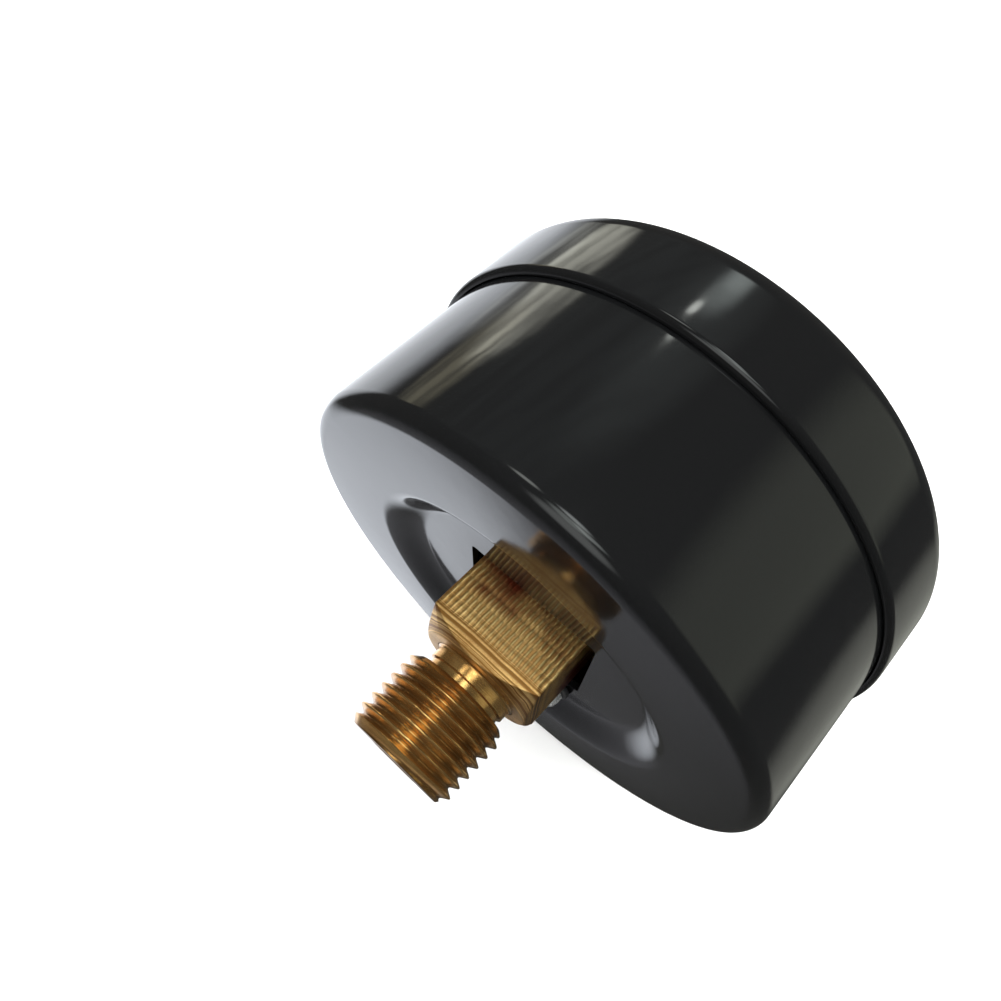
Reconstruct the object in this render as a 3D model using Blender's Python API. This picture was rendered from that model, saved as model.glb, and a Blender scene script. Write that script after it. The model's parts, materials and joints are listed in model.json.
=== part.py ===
import math

import bmesh
import bpy
from mathutils import Matrix, Vector

# The gauge lies with its axis along Y. The dial faces -Y, the threaded inlet points to +Y, and the
# origin is the middle of the inlet's end face. Depths are counted in millimetres from the flat back
# of the case towards the dial. On the dial, x is to the right and z is up.

mm = 0.001
roundSteps = 48
smallSteps = 12
seatGap = 0.1
boreClearance = 0.1

# Case and bezel
caseRadius = 30.8
caseSheet = 0.8
caseCornerRadius = 1.8
recessEdgeRadius = 20.3
recessFloorRadius = 15.5
recessDepth = 2.2
bezelRear = 19.7
bezelWidth = 11.5
bezelSheet = 0.8
bezelRearRadius = 0.7
bezelCornerRadius = 3.5
bezelLip = 5.2

# Socket: the square brass block with the pressure inlet
blockSize = 14.0
blockHoleGap = 1.3
blockBehindCase = 6.2
blockChamferAngle = 30
neckRadius = 5.0
neckLength = 2.3
threadRadius = 6.58
threadPitch = 1.337
threadDepth = 0.856
threadLength = 9.2
threadSteps = 24
inletBoreRadius = 2.6
passageRadius = 0.8
bossHalf = 6.4
footReach = 8.6
footThickness = 4.2
armWidth = 5.9
armThickness = 5.0
rootBlockHeight = 4.8

# Bourdon tube
tubeRadius = 20.0
tubeThickness = 3.2
tubeHeight = 9.0
tubeWall = 0.45
tubeBehindLink = 4.6
tubeStartAngle = -90
tubeSweep = 260
tubeSteps = 30
tubeSideSteps = 10
tipBlockAngle = 6.0
tipPivot = Vector((11.0, -1.0))

# Movement
module = 0.2
pinionTeeth = 10
sectorTeethPerTurn = 100
sectorTeeth = 13
backlash = 0.06
tailLength = 5.6
tailSlotTravel = 0.3
plateThickness = 1.0
plateSpacing = 5.8
postLength = 2.8
pivotRadius = 0.5
shaftRadius = 0.8
gearThickness = 1.0
linkThickness = 0.6
linkHalfWidth = 1.1
pinRadius = 0.4
movementScrewPlaces = [(-5.0, 3.0), (5.0, 3.0)]
upperPillarHeight = 6.8
lowerPillarInside = 5.5
pillarRadius = 1.2
hairspringTurns = 3.5
hairspringInner = 1.4
hairspringOuter = 4.0
hairspringStrip = 0.12
hairspringHeight = 0.6

# Dial, pointer and window
dialGap = 1.8
dialThickness = 0.6
dialToWindow = 3.0
dialHoleRadius = 1.6
dialScrewOffset = 8.5
windowThickness = 2.0
windowGap = 0.4
windowEdgeGap = 2.1
gasketThickness = 0.8
pointerLength = 23.0
pointerTail = 7.5
pointerThickness = 0.4
pointerRestAngle = 225
stopPinRadius = 0.35

# Screws: head radius, head height, shank radius, shank length
caseScrewSizes = (2.6, 2.4, 1.45, 5.2)
movementScrewSizes = (1.3, 0.9, 0.7, 3.2)
dialScrewSizes = (1.3, 0.7, 0.7, 2.6)
caseScrewPlaces = [(-4.6, -11.5), (4.6, -11.5)]
washerRadius = 3.0
washerThickness = 0.8

# Worked out from the sizes above
backPlane = blockBehindCase + neckLength + threadLength
half = blockSize / 2
blockHoleHalf = half + blockHoleGap
footBack = recessDepth + caseSheet + seatGap
footFront = footBack + footThickness
washerBack = recessDepth - seatGap - washerThickness
bezelFront = bezelRear + bezelWidth
bezelInnerRadius = caseRadius + seatGap
bezelRadius = bezelInnerRadius + bezelSheet
windowFront = bezelFront - bezelSheet - windowGap
windowBack = windowFront - windowThickness
windowRadius = bezelInnerRadius - windowEdgeGap
gasketFront = windowBack - seatGap * 2
gasketBack = gasketFront - gasketThickness
caseRim = gasketBack - seatGap * 3
dialFront = windowBack - dialToWindow
dialBack = dialFront - dialThickness
dialRadius = caseRadius - caseSheet - dialGap
frontPlateFront = dialBack - postLength
frontPlateBack = frontPlateFront - plateThickness
backPlateFront = frontPlateBack - plateSpacing
backPlateBack = backPlateFront - plateThickness
bossFront = backPlateBack - seatGap
pinionRadius = module * pinionTeeth / 2
sectorRadius = module * sectorTeethPerTurn / 2
sectorPivot = Vector((0.0, -(pinionRadius + sectorRadius)))
tailPivot = sectorPivot + Vector((tailLength, 0.0))
pillarPlaces = [(0.0, upperPillarHeight), (-5.0, lowerPillarInside - tubeRadius)]
sectorBack = backPlateFront + 2.0
sectorFront = sectorBack + gearThickness
linkBack = sectorFront + 0.5
linkFront = linkBack + linkThickness
tubeDepth = linkBack - tubeBehindLink
springBack = linkFront + 0.3
springFront = springBack + hairspringHeight
pointerBack = dialFront + 1.1
pointerFront = pointerBack + pointerThickness


def toWorld(x, depth, z):
    return Vector((x * mm, -(backPlane + depth) * mm, z * mm))


def makeMaterial(name, colour, roughness, metallic):
    material = bpy.data.materials.new(name)
    material.use_nodes = True
    material.diffuse_color = (*colour, 1)
    shader = material.node_tree.nodes["Principled BSDF"]
    shader.inputs["Base Color"].default_value = (*colour, 1)
    shader.inputs["Roughness"].default_value = roughness
    shader.inputs["Metallic"].default_value = metallic
    return material


def makeObject(name, bm, material):
    bmesh.ops.remove_doubles(bm, verts=bm.verts, dist=1e-7)
    bmesh.ops.dissolve_degenerate(bm, edges=bm.edges, dist=1e-7)
    bmesh.ops.recalc_face_normals(bm, faces=bm.faces)
    mesh = bpy.data.meshes.new(name)
    bm.to_mesh(mesh)
    bm.free()
    mesh.shade_smooth()
    mesh.set_sharp_from_angle(angle=math.radians(30))
    thing = bpy.data.objects.new(name, mesh)
    bpy.context.scene.collection.objects.link(thing)
    if material:
        mesh.materials.append(material)
    else:
        thing.hide_render = True
        thing.display_type = "WIRE"
    return thing


def lathe(name, outline, material, place=(0.0, 0.0), steps=roundSteps):
    """Spin a closed outline of (radius, depth) points round an axis along Y."""
    bm = bmesh.new()
    points = [bm.verts.new(toWorld(place[0] + radius, depth, place[1])) for radius, depth in outline]
    onAxis = [radius == 0 for radius, depth in outline]
    edges = []
    for i in range(len(points)):
        j = (i + 1) % len(points)
        if not (onAxis[i] and onAxis[j]):
            edges.append(bm.edges.new((points[i], points[j])))
    bmesh.ops.spin(
        bm, geom=points + edges, cent=toWorld(place[0], 0, place[1]), axis=(0, 1, 0),
        angle=math.tau, steps=steps, use_duplicate=False,
    )
    return makeObject(name, bm, material)


def prism(name, outline, back, front, material):
    """Extrude a closed outline of (x, z) points from one depth to another."""
    bm = bmesh.new()
    face = bm.faces.new([bm.verts.new(toWorld(x, back, z)) for x, z in outline])
    raised = bmesh.ops.extrude_face_region(bm, geom=[face])["geom"]
    risen = [item for item in raised if isinstance(item, bmesh.types.BMVert)]
    bmesh.ops.translate(bm, verts=risen, vec=(0, -(front - back) * mm, 0))
    return makeObject(name, bm, material)


def circle(place, radius, steps=smallSteps):
    points = []
    for i in range(steps):
        angle = math.tau * i / steps
        points.append((place[0] + radius * math.cos(angle), place[1] + radius * math.sin(angle)))
    return points


def hullPrism(name, discs, back, front, material):
    """A plate whose outline is stretched round discs of (x, z, radius)."""
    bm = bmesh.new()
    for x, z, radius in discs:
        for px, pz in circle((x, z), radius, 16):
            bm.verts.new(toWorld(px, back, pz))
            bm.verts.new(toWorld(px, front, pz))
    wrapped = bmesh.ops.convex_hull(bm, input=bm.verts)
    bmesh.ops.delete(bm, geom=wrapped["geom_interior"], context="VERTS")
    bmesh.ops.dissolve_limit(bm, angle_limit=0.001, verts=bm.verts, edges=bm.edges)
    return makeObject(name, bm, material)


def box(name, x, depth, z, material):
    """A box between two values of x, of depth and of z."""
    corners = [(x[0], z[0]), (x[1], z[0]), (x[1], z[1]), (x[0], z[1])]
    return prism(name, corners, depth[0], depth[1], material)


def combine(thing, other, operation):
    step = thing.modifiers.new(other.name, "BOOLEAN")
    step.operation = operation
    step.solver = "EXACT"
    step.object = other
    return thing


def drill(thing, place, radius, back, front, steps=16):
    """Cut a round hole along Y."""
    cutter = prism(thing.name + ".drill", circle(place, radius, steps), back, front, None)
    return combine(thing, cutter, "DIFFERENCE")


def bore(thing, start, end, radius):
    """Cut a round hole between two points of (x, depth, z)."""
    first = toWorld(*start)
    along = toWorld(*end) - first
    bm = bmesh.new()
    bmesh.ops.create_cone(
        bm, cap_ends=True, segments=10, radius1=radius * mm, radius2=radius * mm, depth=along.length,
        matrix=Matrix.Translation(first + along / 2) @ along.to_track_quat("Z", "Y").to_matrix().to_4x4(),
    )
    return combine(thing, makeObject(thing.name + ".bore", bm, None), "DIFFERENCE")


def arc(centre, radius, start, end, steps):
    """Points of (radius, depth) along an arc given in degrees."""
    points = []
    for i in range(steps + 1):
        angle = math.radians(start + (end - start) * i / steps)
        points.append((centre[0] + radius * math.cos(angle), centre[1] + radius * math.sin(angle)))
    return points


def screw(name, place, seat, towards, sizes, material):
    """A slotted screw whose head sits at a depth, with its head on the side given by towards."""
    headRadius, headHeight, shankRadius, shankLength = sizes
    top = seat + towards * headHeight
    shoulder = seat + towards * headHeight * 0.7
    tip = seat - towards * shankLength
    outline = [(0, top), (headRadius * 0.75, top), (headRadius, shoulder), (headRadius, seat)]
    outline += [(shankRadius, seat), (shankRadius, tip), (0, tip)]
    made = lathe(name, outline, material, place, smallSteps)
    slotDepth = sorted((top + towards, top - towards * headHeight * 0.45))
    slotX = (place[0] - headRadius * 0.16, place[0] + headRadius * 0.16)
    slotZ = (place[1] - headRadius * 1.1, place[1] + headRadius * 1.1)
    return combine(made, box(name + ".slot", slotX, slotDepth, slotZ, None), "DIFFERENCE")


def turnAbout(thing, pivot):
    """Put an object's origin on the axis along Y through a pivot."""
    shift = toWorld(pivot[0], 0, pivot[1])
    thing.data.transform(Matrix.Translation(-shift))
    thing.location = shift
    return thing


def makeCase(material):
    corner = caseRadius - caseCornerRadius
    innerRadius = caseRadius - caseSheet
    outline = [(0, recessDepth), (recessFloorRadius, recessDepth), (recessEdgeRadius, 0)]
    outline += arc((corner, caseCornerRadius), caseCornerRadius, -90, 0, 4)
    outline += [(caseRadius, caseRim), (innerRadius, caseRim)]
    outline += arc((corner, caseCornerRadius), caseCornerRadius - caseSheet, 0, -90, 4)
    floorFront = recessDepth + caseSheet
    slopeShift = caseSheet * 0.4
    outline += [(recessEdgeRadius + slopeShift, caseSheet), (recessFloorRadius + slopeShift, floorFront)]
    outline += [(0, floorFront)]
    case = lathe("case", outline, material)
    hole = (-blockHoleHalf, blockHoleHalf)
    combine(case, box("case.squareHole", hole, (-1, footFront), hole, None), "DIFFERENCE")
    for place in caseScrewPlaces:
        drill(case, place, caseScrewSizes[2] + boreClearance * 2, -1, footFront)
    return case


def makeBezel(material):
    corner = bezelRadius - bezelCornerRadius
    cornerDepth = bezelFront - bezelCornerRadius
    lip = bezelRadius - bezelLip
    rearCentre = (bezelRadius - bezelRearRadius, bezelRear + bezelRearRadius)
    outline = [(bezelInnerRadius, bezelRear)] + arc(rearCentre, bezelRearRadius, -90, 0, 3)
    outline += arc((corner, cornerDepth), bezelCornerRadius, 0, 90, 5)
    outline += [(lip, bezelFront), (lip, bezelFront - bezelSheet)]
    outline += arc((corner, cornerDepth), bezelCornerRadius - bezelSheet, 90, 0, 5)
    return lathe("bezel", outline, material)


def makeWindow(material):
    rim = windowRadius - 0.3
    outline = [(0, windowBack), (windowRadius, windowBack), (windowRadius, windowFront - 0.3)]
    outline += [(rim, windowFront), (0, windowFront)]
    return lathe("window", outline, material)


def makeGasket(material):
    inner = windowRadius - 1.5
    outer = bezelInnerRadius - 0.4
    outline = [(inner, gasketBack), (outer, gasketBack), (outer, gasketFront), (inner, gasketFront)]
    return lathe("window_gasket", outline, material)


def makeDial(material):
    outline = [(0, dialBack), (dialRadius, dialBack), (dialRadius, dialFront), (0, dialFront)]
    dial = lathe("dial", outline, material)
    drill(dial, (0, 0), dialHoleRadius, dialBack - 1, dialFront + 1)
    for side in (-1, 1):
        place = (side * dialScrewOffset, 0)
        drill(dial, place, dialScrewSizes[2] + boreClearance * 2, dialBack - 1, dialFront + 1)
    drill(dial, stopPinPlace(), stopPinRadius + boreClearance, dialBack - 1, dialFront + 1)
    return dial


def onDial(clockAngle, radius):
    """The (x, z) point at an angle counted clockwise from the top of the dial."""
    angle = math.radians(clockAngle)
    return (radius * math.sin(angle), radius * math.cos(angle))


def stopPinPlace():
    reach = pointerLength - 2.0
    offset = math.degrees((stopPinRadius + 0.5) / reach)
    return onDial(pointerRestAngle - offset, reach)


def makePointer(material):
    hub = 2.4
    shape = [(0.25, pointerLength - 0.8), (0.45, hub), (1.1, 2.1), (hub, 0.0), (1.1, -2.1), (0.6, -hub)]
    shape += [(1.1, -pointerTail)]
    outline = [(0.0, pointerLength)] + shape + [(-x, along) for x, along in reversed(shape)]
    turn = math.radians(pointerRestAngle)
    right = Vector((math.cos(turn), -math.sin(turn)))
    ahead = Vector((math.sin(turn), math.cos(turn)))
    turned = [right * x + ahead * along for x, along in outline]
    pointer = prism("pointer", turned, pointerBack, pointerFront, material)
    drill(pointer, (0, 0), pivotRadius * 2 + boreClearance, pointerBack - 1, pointerFront + 1)
    return turnAbout(pointer, (0, 0))


def makePointerBush(material):
    inner = pivotRadius + boreClearance
    sleeve = pivotRadius * 2
    cap = sleeve + 0.9
    outline = [(inner, pointerBack - 0.5), (sleeve, pointerBack - 0.5), (sleeve, pointerFront + seatGap)]
    outline += [(cap, pointerFront + seatGap), (cap, pointerFront + 0.5), (inner, pointerFront + 0.7)]
    return turnAbout(lathe("pointer_bush", outline, material, steps=smallSteps), (0, 0))


def threadSurface():
    """The inlet's helical thread as a closed solid, with the four corners of each turn's profile."""
    bm = bmesh.new()
    crest = threadRadius
    root = threadRadius - threadDepth
    profile = [(0.0, crest), (0.2, crest), (0.5, root), (0.7, root)]
    start = -backPlane
    end = start + threadLength
    turns = math.ceil(threadLength / threadPitch) + 2
    leadIn = 1.1
    rows = []
    for turn in range(-1, turns):
        for share, radius in profile:
            row = []
            for i in range(threadSteps + 1):
                depth = start + (turn + share + i / threadSteps) * threadPitch
                fade = max(0.0, 1.0 - max(0.0, depth - start) / leadIn)
                limit = crest - fade * threadDepth
                row.append(toWorldPolar(min(radius, limit), math.tau * i / threadSteps, depth, start, end))
            rows.append([bm.verts.new(point) for point in row])
    for lower, upper in zip(rows, rows[1:]):
        for i in range(threadSteps):
            bm.faces.new((lower[i], lower[i + 1], upper[i + 1], upper[i]))
    bmesh.ops.remove_doubles(bm, verts=bm.verts, dist=1e-7)
    bmesh.ops.dissolve_degenerate(bm, edges=bm.edges, dist=1e-7)
    bmesh.ops.holes_fill(bm, edges=[edge for edge in bm.edges if edge.is_boundary], sides=0)
    return makeObject("socket.thread", bm, None)


def toWorldPolar(radius, angle, depth, lowest, highest):
    kept = min(max(depth, lowest), highest)
    if depth < lowest or depth > highest:
        radius = threadRadius - threadDepth
    return toWorld(radius * math.cos(angle), kept, radius * math.sin(angle))


def makeSocket(material):
    chamferRadius = half - 0.2
    slope = math.tan(math.radians(blockChamferAngle))
    reach = half * 2
    rear = -blockBehindCase
    turned = [(0, rear), (chamferRadius, rear), (reach, rear + (reach - chamferRadius) * slope)]
    shoulder = recessDepth - seatGap
    turned += [(reach, shoulder + 1), (0, shoulder + 1)]
    span = (-half, half)
    inner = (-bossHalf, bossHalf)
    socket = box("socket", span, (rear, shoulder), span, material)
    combine(socket, lathe("socket.chamfer", turned, None), "INTERSECT")
    boss = box("socket.boss", inner, (shoulder - 1, bossFront), inner, None)
    footLow = min(z for x, z in caseScrewPlaces) - caseScrewSizes[2] - 2.0
    foot = box("socket.foot", (-footReach, footReach), (footBack, footFront), (footLow, 0), None)
    armBack = tubeDepth - tubeHeight / 2 - 0.5
    armSide = (seatGap, armWidth)
    rootLow = -tubeRadius - rootBlockHeight / 2
    rootHigh = -tubeRadius + rootBlockHeight / 2
    arm = box("socket.arm", armSide, (armBack, min(armBack + armThickness, bossFront)), (rootLow, 0), None)
    root = box("socket.root", armSide, (armBack, armBack + tubeHeight + 1.0), (rootLow, rootHigh), None)
    neckOutline = [(0, -backPlane + threadLength - 0.5), (neckRadius, -backPlane + threadLength - 0.5)]
    neckOutline += [(neckRadius, rear + 1), (0, rear + 1)]
    neck = lathe("socket.neck", neckOutline, None, steps=threadSteps)
    for piece in (boss, foot, arm, root, neck, threadSurface()):
        combine(socket, piece, "UNION")
    passageX = inletBoreRadius - 0.4
    passageDepth = armBack + armThickness / 2
    boreEnd = passageDepth + 1.2
    drill(socket, (0, 0), inletBoreRadius, -backPlane - 1, boreEnd, 20)
    bore(socket, (passageX, passageDepth, 0), (passageX, passageDepth, -tubeRadius), passageRadius)
    crossHigh = -tubeRadius + 0.1
    bore(socket, (-1, passageDepth, crossHigh), (passageX, passageDepth, crossHigh), passageRadius)
    for place in caseScrewPlaces:
        drill(socket, place, caseScrewSizes[2] + boreClearance, 0, footFront + 1)
    for place in movementScrewPlaces:
        screwDepth = backPlateFront - movementScrewSizes[3] - 0.5
        drill(socket, place, movementScrewSizes[2] + boreClearance, screwDepth, bossFront + 1)
    return socket


def makeThrottle(material):
    back = -backPlane + 3.0
    outer = inletBoreRadius - boreClearance
    outline = [(0.4, back), (outer, back), (outer, back + 3.0), (0.4, back + 3.0)]
    throttle = lathe("throttle_screw", outline, material, steps=20)
    slot = box("throttle_screw.slot", (-0.3, 0.3), (back - 1, back + 0.8), (-outer - 1, outer + 1), None)
    return combine(throttle, slot, "DIFFERENCE")


def tubeRing(bm, angle, thickness, height):
    """One flattened oval cross-section of the tube."""
    ring = []
    for i in range(tubeSideSteps):
        turn = math.tau * (i + 0.5) / tubeSideSteps
        radius = tubeRadius + thickness / 2 * math.cos(turn)
        depth = tubeDepth + height / 2 * math.sin(turn)
        ring.append(bm.verts.new(toWorld(radius * math.cos(angle), depth, radius * math.sin(angle))))
    return ring


def bridgeRings(bm, first, second):
    for i in range(len(first)):
        j = (i + 1) % len(first)
        bm.faces.new((first[i], first[j], second[j], second[i]))


def makeBourdonTube(material):
    bm = bmesh.new()
    wall = tubeWall * 2
    outer = []
    inner = []
    for i in range(tubeSteps + 1):
        angle = math.radians(tubeStartAngle - tubeSweep * i / tubeSteps)
        outer.append(tubeRing(bm, angle, tubeThickness, tubeHeight))
        if i < tubeSteps:
            inner.append(tubeRing(bm, angle, tubeThickness - wall, tubeHeight - wall))
    for rings in (outer, inner):
        for first, second in zip(rings, rings[1:]):
            bridgeRings(bm, first, second)
    bridgeRings(bm, outer[0], inner[0])
    bm.faces.new(outer[-1])
    bm.faces.new(inner[-1])
    return makeObject("bourdon_tube", bm, material)


def makeTubeTip(material):
    start = math.radians(tubeStartAngle - tubeSweep) - seatGap / tubeRadius
    end = start - math.radians(tipBlockAngle)
    low = tubeRadius - tubeThickness / 2 - 0.2
    high = tubeRadius + tubeThickness / 2 + 0.2
    corners = [(low, start), (high, start), (high, end), (low, end)]
    outline = [(radius * math.cos(angle), radius * math.sin(angle)) for radius, angle in corners]
    depth = tubeHeight / 2 + 0.2
    tip = prism("tube_tip", outline, tubeDepth - depth, tubeDepth + depth, material)
    middle = (start + end) / 2
    root = ((low + 0.6) * math.cos(middle), (low + 0.6) * math.sin(middle), 0.8)
    ear = hullPrism("tube_tip.ear", [root, (*tipPivot, 1.3)], sectorBack, sectorFront, None)
    combine(tip, ear, "UNION")
    drill(tip, tipPivot, pinRadius + boreClearance, sectorBack - 1, sectorFront + 1)
    return turnAbout(tip, tipJointPlace())


def tipJointPlace():
    """A Bourdon tube's free end turns about the middle of its arc."""
    bisector = math.radians(tubeStartAngle - tubeSweep / 2)
    halfSweep = math.radians(tubeSweep / 2)
    distance = tubeRadius * math.sin(halfSweep) / halfSweep
    return (distance * math.cos(bisector), distance * math.sin(bisector))


def makeLink(material):
    discs = [(*tipPivot, linkHalfWidth), (*tailPivot, linkHalfWidth)]
    link = hullPrism("link", discs, linkBack, linkFront, material)
    for place in (tipPivot, tailPivot):
        drill(link, place, pinRadius + boreClearance, linkBack - 1, linkFront + 1)
    return turnAbout(link, tipPivot)


def makePin(name, place, material):
    """A riveted pin through the link and the piece behind it."""
    head = pinRadius * 2
    back = sectorBack - 0.2
    front = linkFront + 0.1
    outline = [(0, back - 0.4), (head, back - 0.4), (head, back), (pinRadius, back), (pinRadius, front)]
    outline += [(head, front), (head * 0.7, front + 0.4), (0, front + 0.4)]
    return turnAbout(lathe(name, outline, material, place, smallSteps), place)


def toothPoints(centre, middle, pitchRadius, outside):
    """One tooth's four corners, from root to root, round a centre."""
    halfPitch = module * math.pi / 4 - backlash / 2
    root = pitchRadius - 1.25 * module
    tip = pitchRadius + 0.9 * module
    corners = [(root, -halfPitch * 1.5), (pitchRadius, -halfPitch), (tip, -halfPitch * 0.42)]
    corners += [(tip, halfPitch * 0.42), (pitchRadius, halfPitch), (root, halfPitch * 1.5)]
    points = []
    for radius, across in corners:
        angle = middle + across / radius * outside
        points.append((centre[0] + radius * math.cos(angle), centre[1] + radius * math.sin(angle)))
    return points


def makeSector(material):
    pitch = math.tau / sectorTeethPerTurn
    first = math.pi / 2 + pitch * (sectorTeeth - 1) / 2
    last = math.pi / 2 - pitch * (sectorTeeth - 1) / 2
    rimInner = sectorRadius - 2.4
    outline = []
    for i in range(sectorTeeth):
        outline += toothPoints(sectorPivot, first - i * pitch, sectorRadius, -1)
    for i in range(7):
        angle = last - pitch + (first - last + pitch * 2) * i / 6
        outline.append(tuple(sectorPivot + Vector((math.cos(angle), math.sin(angle))) * rimInner))
    sector = prism("sector_gear", outline, sectorBack, sectorFront, material)
    hub = (*sectorPivot, 2.2)
    rimMiddle = (*(sectorPivot + Vector((0, rimInner + 0.6))), 1.2)
    spoke = hullPrism("sector_gear.spoke", [hub, rimMiddle], sectorBack, sectorFront, None)
    tailEnd = (*(tailPivot + Vector((tailSlotTravel, 0))), 1.3)
    tail = hullPrism("sector_gear.tail", [(*sectorPivot, 1.8), tailEnd], sectorBack, sectorFront, None)
    combine(sector, spoke, "UNION")
    combine(sector, tail, "UNION")
    slotRadius = pinRadius + boreClearance
    slotDiscs = []
    for shift in (-tailSlotTravel, tailSlotTravel):
        slotDiscs.append((tailPivot[0] + shift, tailPivot[1], slotRadius))
    slot = hullPrism("sector_gear.slot", slotDiscs, sectorBack - 1, sectorFront + 1, None)
    combine(sector, slot, "DIFFERENCE")
    drill(sector, sectorPivot, shaftRadius + boreClearance, sectorBack - 1, sectorFront + 1)
    return turnAbout(sector, sectorPivot)


def pivotShaft(name, place, radius, material):
    """A shaft with a thinner pivot at each end, running in the movement's two plates."""
    back = backPlateBack + 0.2
    front = frontPlateFront - 0.2
    low = backPlateFront + 0.2
    high = frontPlateBack - 0.2
    outline = [(0, back), (pivotRadius, back), (pivotRadius, low), (radius, low), (radius, high)]
    outline += [(pivotRadius, high), (pivotRadius, front), (0, front)]
    return lathe(name, outline, material, place, smallSteps)


def makePinion(material):
    outline = []
    pitch = math.tau / pinionTeeth
    for i in range(pinionTeeth):
        outline += toothPoints((0, 0), -math.pi / 2 + pitch * (i + 0.5), pinionRadius, 1)
    pinion = prism("pinion", outline, sectorBack - 0.5, sectorFront + 0.5, material)
    back = backPlateBack + 0.2
    front = pointerFront + 0.4
    shaft = [(0, back), (pivotRadius, back), (pivotRadius, front), (0, front)]
    combine(pinion, lathe("pinion.shaft", shaft, None, steps=smallSteps), "UNION")
    return turnAbout(pinion, (0, 0))


def makeCollet(material):
    inner = pivotRadius + boreClearance
    outer = hairspringInner - hairspringStrip / 2 - 0.1
    low = springBack - 0.1
    high = springFront + 0.1
    outline = [(inner, low), (outer, low), (outer, high), (inner, high)]
    return turnAbout(lathe("hairspring_collet", outline, material, steps=smallSteps), (0, 0))


def makeHairspring(material):
    bm = bmesh.new()
    steps = int(hairspringTurns * 14)
    rings = []
    for i in range(steps + 1):
        turn = math.pi - math.tau * hairspringTurns * (1 - i / steps)
        radius = hairspringInner + (hairspringOuter - hairspringInner) * i / steps
        ring = []
        for across, depth in ((-1, springBack), (1, springBack), (1, springFront), (-1, springFront)):
            reach = radius + across * hairspringStrip / 2
            ring.append(bm.verts.new(toWorld(reach * math.cos(turn), depth, reach * math.sin(turn))))
        rings.append(ring)
    for first, second in zip(rings, rings[1:]):
        bridgeRings(bm, first, second)
    bm.faces.new(rings[0])
    bm.faces.new(rings[-1])
    return makeObject("hairspring", bm, material)


def makeStud(material):
    outer = hairspringOuter + hairspringStrip / 2 + 0.1
    span = (-outer - 1.0, -outer)
    return box("hairspring_stud", span, (springBack - 0.1, frontPlateBack - seatGap), (-0.6, 0.6), material)


def makePlates(material):
    pillars = [(x, z, pillarRadius + 1.3) for x, z in pillarPlaces]
    screws = [(x, z, movementScrewSizes[0] + 1.2) for x, z in movementScrewPlaces]
    pivots = [(0, 0, 2.0), (*sectorPivot, 3.2)]
    posts = [(side * dialScrewOffset, 0, 2.4) for side in (-1, 1)]
    backDiscs = pillars + screws + pivots
    frontDiscs = pillars + posts + pivots
    back = hullPrism("movement_back_plate", backDiscs, backPlateBack, backPlateFront, material)
    front = hullPrism("movement_front_plate", frontDiscs, frontPlateBack, frontPlateFront, material)
    layers = [(back, backPlateBack, backPlateFront), (front, frontPlateBack, frontPlateFront)]
    for plate, low, high in layers:
        for place in ((0, 0), tuple(sectorPivot)):
            drill(plate, place, pivotRadius + boreClearance * 0.9, low - 1, high + 1)
        for place in pillarPlaces:
            drill(plate, place, pivotRadius + boreClearance * 2, low - 1, high + 1)
    for place in movementScrewPlaces:
        drill(back, place, movementScrewSizes[2] + boreClearance * 2, backPlateBack - 1, backPlateFront + 1)


def makePillar(name, place, material):
    low = backPlateFront + seatGap
    high = frontPlateBack - seatGap
    tenon = pivotRadius + boreClearance
    start = backPlateBack + seatGap
    end = frontPlateFront - seatGap
    outline = [(0, start), (tenon, start), (tenon, low), (pillarRadius, low)]
    outline += [(pillarRadius, high), (tenon, high), (tenon, end), (0, end)]
    return lathe(name, outline, material, place, smallSteps)


def makePost(name, place, material):
    inner = dialScrewSizes[2] + boreClearance
    low = frontPlateFront + seatGap
    high = dialBack - seatGap
    outline = [(inner, low), (inner + 0.9, low), (inner + 0.9, high), (inner, high)]
    return lathe(name, outline, material, place, smallSteps)


def makeWasher(name, place, material):
    inner = caseScrewSizes[2] + boreClearance
    front = washerBack + washerThickness
    outline = [(inner, washerBack), (washerRadius, washerBack), (washerRadius, front), (inner, front)]
    return lathe(name, outline, material, place, 16)


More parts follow.
